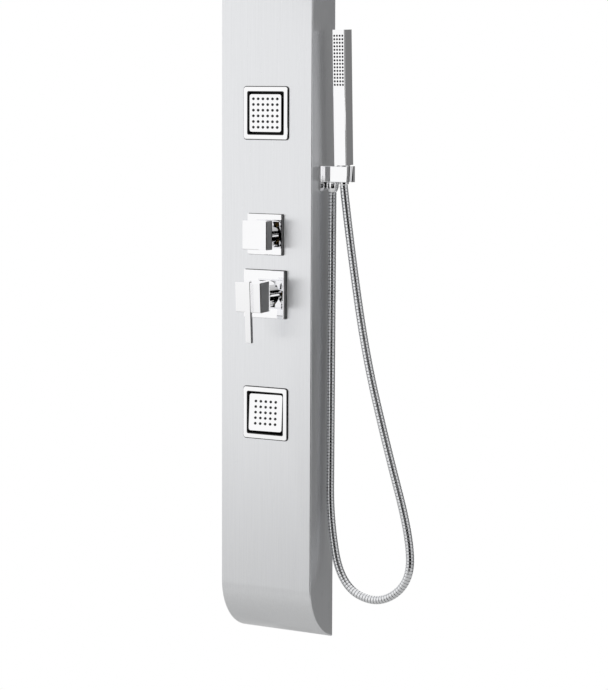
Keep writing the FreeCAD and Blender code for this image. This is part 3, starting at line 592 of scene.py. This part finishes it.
def nubTree():
    # a flat grid of small domes, facing +Z, such as spray nozzles
    tree, put = newTree(
        "nubGrid",
        {
            "Columns": "Int",
            "Rows": "Int",
            "Column Pitch": "Float",
            "Row Pitch": "Float",
            "Radius": "Float",
            "Height": "Float",
            "Dome Sides": "Int",
            "Dome Rings": "Int",
            "Finish": "Material",
        },
    )

    def span(count, pitch):
        less, times = {"operation": "SUBTRACT"}, {"operation": "MULTIPLY"}
        gaps = addNode(tree, "ShaderNodeMath", less, {1: 1.0}, {0: put[count]})
        length = addNode(tree, "ShaderNodeMath", times, links={0: gaps.outputs[0], 1: put[pitch]})
        return length.outputs[0]

    grid = addNode(
        tree,
        "GeometryNodeMeshGrid",
        links={
            "Size X": span("Columns", "Column Pitch"),
            "Size Y": span("Rows", "Row Pitch"),
            "Vertices X": put["Columns"],
            "Vertices Y": put["Rows"],
        },
    )
    dome = addNode(
        tree,
        "GeometryNodeMeshUVSphere",
        values={"Radius": 1.0},
        links={"Segments": put["Dome Sides"], "Rings": put["Dome Rings"]},
    )
    size = addNode(
        tree,
        "ShaderNodeCombineXYZ",
        links={"X": put["Radius"], "Y": put["Radius"], "Z": put["Height"]},
    )
    domes = addNode(
        tree,
        "GeometryNodeInstanceOnPoints",
        links={"Points": grid.outputs[0], "Instance": dome.outputs[0], "Scale": size.outputs[0]},
    )
    real = addNode(tree, "GeometryNodeRealizeInstances", links={"Geometry": domes.outputs[0]})
    smooth = addNode(tree, "GeometryNodeSetShadeSmooth", links={"Geometry": real.outputs[0]})
    coatTree(tree, smooth.outputs[0], put["Finish"])
    return tree


nubs = nubTree()
facingFront = turned(90, "X")  # stands the flat grid up
facingDown = turned(180, "X")


def placedGrid(name, body, design, place, *nodes):
    # the carrier is any short line, since the tree draws the grid itself
    carrier = lineObject(name, [Vector((0, 0, 0)), Vector((0, 0, 0.001))])
    values = {
        "Columns": design["columns"],
        "Rows": design["rows"],
        "Column Pitch": design["pitch"],
        "Row Pitch": design.get("rowPitch", design["pitch"]),
        "Radius": design["radius"],
        "Height": design["height"],
        "Dome Sides": nubShape["sides"],
        "Dome Rings": nubShape["rings"],
        "Finish": nozzleRubber,
    }
    runTree(carrier, nubs, values)
    carrier.data.transform(place)
    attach(carrier, body)
    if nodes:
        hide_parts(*nodes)


jetNozzles = {
    "upper_jet": {
        "columns": 6,
        "rows": 6,
        "middle": 0.267,
        "tilt": 0.0,
        "turn": 0.0,
    },
    "lower_jet": {
        "columns": 5,
        "rows": 5,
        "middle": -0.267,
        "tilt": 3.5,  # how the lower jet points at rest
        "turn": 5.0,
    },
    "both": {
        "pitch": 0.010,
        "radius": 0.0026,
        "height": 0.0022,
        "faceY": -0.0796,
        "pivotY": -0.060,
    },
}


def jetPlace(design):
    pivot = Matrix.Translation((0, design["pivotY"], design["middle"]))
    rest = turned(design["turn"], "Z") @ turned(-design["tilt"], "X")
    out = Matrix.Translation((0, design["faceY"] - design["pivotY"], 0))
    return pivot @ rest @ out @ facingFront


for name in ("upper_jet", "lower_jet"):
    jet = {**jetNozzles["both"], **jetNozzles[name]}
    placedGrid(name + "Nubs", name, jet, jetPlace(jet), name + "_nozzles")

# the hand shower leans a little as it stands in its holder
handSeat = {
    "middle": (0.1325, -0.0303, 0.161),
    "lean": 2.0,
}
seatPlace = Matrix.Translation(handSeat["middle"]) @ turned(handSeat["lean"], "X")

handNozzles = {
    "columns": 4,
    "rows": 15,
    "pitch": 0.0055,
    "rowPitch": 0.00607,
    "radius": 0.0020,
    "height": 0.0009,
    "lowestRow": 0.3176,
    "faceHalf": 0.0127,  # from the hand shower's axis to its face
}


def handPlace(design):
    halfRows = design["rowPitch"] * (design["rows"] - 1) / 2
    middle = design["lowestRow"] + halfRows - handSeat["middle"][2]
    return seatPlace @ Matrix.Translation((0, -design["faceHalf"], middle)) @ facingFront


placedGrid("handNubs", "handset", handNozzles, handPlace(handNozzles))

rainNozzles = {
    "columns": 14,
    "rows": 14,
    "pitch": 0.0135,
    "radius": 0.0022,
    "height": 0.0018,
}


def rainPlace():
    low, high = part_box("rain_head_face")
    middle = ((low[0] + high[0]) / 2, (low[1] + high[1]) / 2, low[2])
    return Matrix.Translation(middle) @ facingDown


placedGrid("rainNubs", "rain_head", rainNozzles, rainPlace())
print("nozzles made")


# flat rubber rings behind the jets' frames and the two plates, seen only as dark lines: partly real
# seals, partly painted shade standing in for the contact shadow along each frame's edge
edgeShadeSeals = {
    # height of the middle, half the width and corner radius of each
    "places": {
        "upperJetEdgeShadeSeal": {"middle": 0.267, "half": 0.0474, "corner": 0.006},
        "lowerJetEdgeShadeSeal": {"middle": -0.267, "half": 0.0474, "corner": 0.006},
        "mixerEdgeShadeSeal": {"middle": -0.053, "half": 0.0432, "corner": 0.001},
        "diverterEdgeShadeSeal": {"middle": 0.053, "half": 0.0367, "corner": 0.001},
    },
    "panelFront": -0.076,
    "depth": 0.0011,
    "width": 0.004,
    "smallestCorner": 0.0004,
    "cornerSteps": 6,
}


def squareEdgeShadeSeal(name, place, design):
    # four rounded squares, joined in turn: outer back, outer front, inner front, inner back
    back = design["panelFront"]
    front = back - design["depth"]
    stepAngle = 90 / design["cornerSteps"]
    work = bmesh.new()
    rings = []
    for inset, y in (
        (0.0, back),
        (0.0, front),
        (design["width"], front),
        (design["width"], back),
    ):
        reach = place["half"] - inset
        radius = max(place["corner"] - inset, design["smallestCorner"])
        ring = []
        for quarter, (sideX, sideZ) in enumerate(((1, 1), (-1, 1), (-1, -1), (1, -1))):
            centreX = (reach - radius) * sideX
            centreZ = place["middle"] + (reach - radius) * sideZ
            for step in range(design["cornerSteps"] + 1):
                angle = math.radians(90 * quarter + stepAngle * step)
                x = centreX + radius * math.cos(angle)
                z = centreZ + radius * math.sin(angle)
                ring.append(work.verts.new((x, y, z)))
        rings.append(ring)
    for first, second in zip(rings, rings[1:] + rings[:1]):
        for i in range(len(first)):
            j = (i + 1) % len(first)
            work.faces.new((first[i], first[j], second[j], second[i]))
    bmesh.ops.recalc_face_normals(work, faces=work.faces)
    mesh = bpy.data.meshes.new(name)
    work.to_mesh(mesh)
    work.free()
    made = ownPiece(name, mesh, "panel", edgeShadeSeal)


# each ring paints the contact shadow round a frame as a dark line
for name, place in edgeShadeSeals["places"].items():
    squareEdgeShadeSeal(name, place, edgeShadeSeals)
print("seals made")


hoseNuts = {
    "sides": 48,
    "foldAngle": 40.0,  # steeper folds stay edges
    "outletX": 0.1095,
    "outletTop": 0.147,
    # radius and height: a rounded collar, then a cone down to the hose
    "outletProfile": [
        (0.0090, 0.0),
        (0.0106, -0.0004),
        (0.0112, -0.0016),
        (0.0112, -0.0080),
        (0.0108, -0.0104),
        (0.0098, -0.0136),
        (0.0086, -0.0160),
        (0.0080, -0.0174),
        (0.0072, -0.0180),
    ],
    "seatTop": 0.016,  # above the middle of the holder's seat
    # a short rim, then a long cone
    "seatProfile": [
        (0.0110, 0.0),
        (0.0118, -0.0006),
        (0.0118, -0.0030),
        (0.0090, -0.0318),
        (0.0088, -0.0334),
        (0.0080, -0.0340),
    ],
}


def turnedNut(name, body, profile, place, nodeName):
    # a lathe form about Z from the profile, closed at both ends
    sides = hoseNuts["sides"]
    fold = math.radians(hoseNuts["foldAngle"])
    angles = [2 * math.pi * i / sides for i in range(sides)]
    work = bmesh.new()
    rings = [
        [work.verts.new((r * math.cos(angle), r * math.sin(angle), z)) for angle in angles]
        for r, z in profile
    ]
    for first, second in zip(rings, rings[1:]):
        for i in range(sides):
            j = (i + 1) % sides
            work.faces.new((first[i], first[j], second[j], second[i]))
    work.faces.new(rings[0])
    work.faces.new(rings[-1])
    bmesh.ops.recalc_face_normals(work, faces=work.faces)
    for face in work.faces:
        face.smooth = True
    for edge in work.edges:
        edge.smooth = edge.calc_face_angle(0.0) < fold
    work.transform(place)
    mesh = bpy.data.meshes.new(name)
    work.to_mesh(mesh)
    work.free()
    made = ownPiece(name, mesh, body, chrome, nodeName)
    return made


outletNut = turnedNut(
    "outletNutTurned",
    "panel",
    hoseNuts["outletProfile"],
    Matrix.Translation((hoseNuts["outletX"], hoseDesign["plane"], hoseNuts["outletTop"])),
    "hose_nut_outlet",
)
seatNut = turnedNut(
    "seatNutTurned",
    "handset",
    hoseNuts["seatProfile"],
    seatPlace @ Matrix.Translation((0, 0, hoseNuts["seatTop"])),
    "hose_nut_seat",
)
print("hose nuts made")
makeHose(hoseDesign)
print("hose made")


# a pale floor in white surroundings, a softbox at the front left, and screens that metal mirrors
studio = {
    "floorHeight": -1.55,
    "floorHalf": 12.0,
    # where the floor runs into the white surroundings, for the eye and in mirrors
    "floorFadeSeen": {"from": 0.9, "to": 3.0, "bend": 1.0},
    "floorFadeMirrored": {"from": 1.5, "to": 12.0, "bend": 0.5},
    "worldLight": 0.5,
    "softbox": {"place": (-1.45, -2.33, 0.50), "size": (2.4, 2.6), "watts": 20.0},
    # metal sees this one in place of the softbox: it lifts the upper half of the panel's sheen
    "sheenCard": {"place": (-1.45, -2.33, 0.75), "size": (2.8, 2.2), "watts": 1.2},
}

# Each screen stands upright at its centre, facing the part. A pane is left, right, low and high;
# reach is where the soft side edges end; glow is a row of heights with their brightness.
screens = {
    "frontScreen": {
        "centre": (1.45, -2.30, 0.0),
        "reach": (-1.6, 2.1),
        "softEdge": 0.25,
        # a slit keeps the holder's front light where it mirrors the side wall, and a gap keeps
        # the mixer block light beside its lever
        "panes": [
            (-1.6, 2.1, -2.6, -0.62),
            (-1.6, -0.08, -0.62, -0.20),
            (0.035, 2.1, -0.62, -0.20),
            (-1.6, 2.1, -0.20, 0.043),
            (-1.6, 2.1, 0.10, 2.2),
        ],
        # black as high as the photograph's view mirrors it, grey above for the rain head's top
        "glow": [(-1.0, 0.0), (0.68, 0.0), (0.80, 0.5), (2.2, 0.7)],
    },
    "backScreen": {
        "centre": (1.25, 2.0, 0.0),
        "reach": (-2.0, 2.0),
        "softEdge": 0.6,
        "panes": [(-2.0, 2.0, -2.6, 2.6)],
        # darkest behind the middle of the side wall, lighter for the hand shower and the foot
        "glow": [(-1.0, 0.22), (-0.45, 0.15), (-0.08, 0.15), (0.06, 0.20), (1.0, 0.20)],
    },
    # grey cards that give the chrome some tone when it is seen from the sides
    "sideScreen": {
        "centre": (2.9, 0.0, 0.0),
        "reach": (-0.8, 0.8),
        "softEdge": 0.4,
        "panes": [(-0.8, 0.8, -2.6, 1.5)],
        "glow": [(-1.0, 0.45), (1.0, 0.70)],
    },
    "leftScreen": {
        "centre": (-2.9, 0.15, 0.0),
        "reach": (-0.6, 0.6),
        "softEdge": 0.3,
        "panes": [(-0.6, 0.6, -2.6, 1.5)],
        "glow": [(-1.0, 0.55), (1.0, 0.75)],
    },
}


def setWorld(setup):
    # camera, mirror and glass rays see plain white; the rest gives the soft fill
    world = bpy.data.worlds.new("whiteStudio")
    world.use_nodes = True
    tree = world.node_tree
    tree.nodes.clear()
    white = hexColour("#FFFFFF")
    ray = addNode(tree, "ShaderNodeLightPath").outputs
    seen = ray["Is Camera Ray"]
    for kind in ("Is Glossy Ray", "Is Transmission Ray"):
        either = {0: seen, 1: ray[kind]}
        seen = addNode(tree, "ShaderNodeMath", {"operation": "MAXIMUM"}, links=either).outputs[0]
    fill = {"Color": white, "Strength": setup["worldLight"]}
    lit = addNode(tree, "ShaderNodeBackground", values=fill)
    plain = addNode(tree, "ShaderNodeBackground", values={"Color": white, "Strength": 1.0})
    mix = addNode(
        tree,
        "ShaderNodeMixShader",
        links={"Fac": seen, 1: lit.outputs[0], 2: plain.outputs[0]},
    )
    addNode(tree, "ShaderNodeOutputWorld", links={"Surface": mix.outputs[0]})
    scene.world = world


def flatPlate(name, corners):
    # one face for each four corners
    mesh = bpy.data.meshes.new(name)
    faces = [tuple(range(i, i + 4)) for i in range(0, len(corners), 4)]
    mesh.from_pydata(corners, [], faces)
    plate = bpy.data.objects.new(name, mesh)
    scene.collection.objects.link(plate)
    return plate


def makeFloor(setup):
    half, z = setup["floorHalf"], setup["floorHeight"]
    corners = [(-half, -half, z), (half, -half, z), (half, half, z), (-half, half, z)]
    floor = flatPlate("paleFloor", corners)
    material, tree, shader = newFinish("matPaintedFloor", "#F4F4F3", {"Roughness": 0.85})
    place = addNode(tree, "ShaderNodeTexCoord")
    away = addNode(
        tree,
        "ShaderNodeVectorMath",
        {"operation": "LENGTH"},
        links={0: place.outputs["Object"]},
    )
    ray = addNode(tree, "ShaderNodeLightPath")
    shares = []
    for fadeName, kind in (
        ("floorFadeSeen", "Is Camera Ray"),
        ("floorFadeMirrored", "Is Glossy Ray"),
    ):
        fade = setup[fadeName]
        ramp = addNode(
            tree,
            "ShaderNodeMapRange",
            {"interpolation_type": "SMOOTHSTEP"},
            {"From Min": fade["from"], "From Max": fade["to"]},
            {"Value": away.outputs["Value"]},
        )
        bent = addNode(
            tree,
            "ShaderNodeMath",
            {"operation": "POWER"},
            {1: fade["bend"]},
            {0: ramp.outputs["Result"]},
        )
        share = addNode(
            tree,
            "ShaderNodeMath",
            {"operation": "MULTIPLY"},
            links={0: bent.outputs[0], 1: ray.outputs[kind]},
        )
        shares.append(share.outputs[0])
    seen = addNode(
        tree, "ShaderNodeMath", {"operation": "MAXIMUM"}, links={0: shares[0], 1: shares[1]}
    )
    white = addNode(tree, "ShaderNodeEmission", values={"Strength": 1.0})
    mix = addNode(
        tree,
        "ShaderNodeMixShader",
        links={"Fac": seen.outputs[0], 1: shader.outputs[0], 2: white.outputs[0]},
    )
    output = next(n for n in tree.nodes if n.type == "OUTPUT_MATERIAL")
    tree.links.new(mix.outputs[0], output.inputs["Surface"])
    floor.data.materials.append(material)


def makeScreen(name, screen):
    # only mirror rays see a screen
    centre = Vector(screen["centre"])
    outward = Vector((centre.x, centre.y, 0)).normalized()
    along = Vector((-outward.y, outward.x, 0))
    corners = [
        tuple(centre + along * side + Vector((0, 0, height)))
        for left, right, low, high in screen["panes"]
        for side, height in ((left, low), (right, low), (right, high), (left, high))
    ]
    plate = flatPlate(name, corners)
    material, tree = emptyMaterial(name + "Felt")
    place = addNode(tree, "ShaderNodeTexCoord").outputs["Object"]

    # how far a spot is from the screen's middle, sideways, and so how much the screen covers there
    start, end = screen["reach"]
    half = (end - start) / 2
    offset = addNode(
        tree, "ShaderNodeVectorMath", {"operation": "DOT_PRODUCT"}, {1: tuple(along)}, {0: place}
    )
    fromMiddle = addNode(
        tree,
        "ShaderNodeMath",
        {"operation": "SUBTRACT"},
        {1: centre.dot(along) + (start + end) / 2},
        {0: offset.outputs["Value"]},
    )
    distance = addNode(
        tree, "ShaderNodeMath", {"operation": "ABSOLUTE"}, links={0: fromMiddle.outputs[0]}
    )
    cover = addNode(
        tree,
        "ShaderNodeMapRange",
        {"interpolation_type": "SMOOTHSTEP"},
        {"From Min": half, "From Max": half - screen["softEdge"]},
        {"Value": distance.outputs[0]},
    )

    # its brightness by height
    lowest, highest = screen["glow"][0][0], screen["glow"][-1][0]
    parts = addNode(tree, "ShaderNodeSeparateXYZ", links={"Vector": place})
    rise = addNode(
        tree,
        "ShaderNodeMapRange",
        values={"From Min": lowest, "From Max": highest},
        links={"Value": parts.outputs["Z"]},
    )
    ramp = addNode(tree, "ShaderNodeValToRGB", links={"Fac": rise.outputs["Result"]})
    stops = ramp.color_ramp.elements  # a new ramp has the first and the last one
    for height, level in screen["glow"][1:-1]:
        stops.new((height - lowest) / (highest - lowest))
    for stop, (height, level) in zip(stops, screen["glow"]):
        stop.color = (level, level, level, 1.0)

    glow = addNode(tree, "ShaderNodeEmission", links={"Strength": ramp.outputs["Color"]})
    clear = addNode(tree, "ShaderNodeBsdfTransparent")
    mix = addNode(
        tree,
        "ShaderNodeMixShader",
        links={"Fac": cover.outputs["Result"], 1: clear.outputs[0], 2: glow.outputs[0]},
    )
    addNode(tree, "ShaderNodeOutputMaterial", links={"Surface": mix.outputs[0]})
    plate.data.materials.append(material)
    plate.visible_camera = False
    plate.visible_diffuse = False
    plate.visible_shadow = False


def makeLamp(name, lamp, mirrored):
    # an upright lamp that faces the part; either only mirror rays see it, or it only gives light
    data = bpy.data.lights.new(name, "AREA")
    data.shape = "RECTANGLE"
    data.size, data.size_y = lamp["size"]
    data.energy = lamp["watts"]
    light = bpy.data.objects.new(name, data)
    scene.collection.objects.link(light)
    light.location = lamp["place"]
    light.rotation_mode = "QUATERNION"
    toPart = -Vector((light.location.x, light.location.y, 0))
    light.rotation_quaternion = toPart.to_track_quat("-Z", "Z")
    light.visible_camera = False
    light.visible_glossy = mirrored
    light.visible_diffuse = not mirrored


setWorld(studio)
makeFloor(studio)
for name, screen in screens.items():
    makeScreen(name, screen)
makeLamp("leftSoftbox", studio["softbox"], False)
makeLamp("sheenCard", studio["sheenCard"], True)
print("studio set")
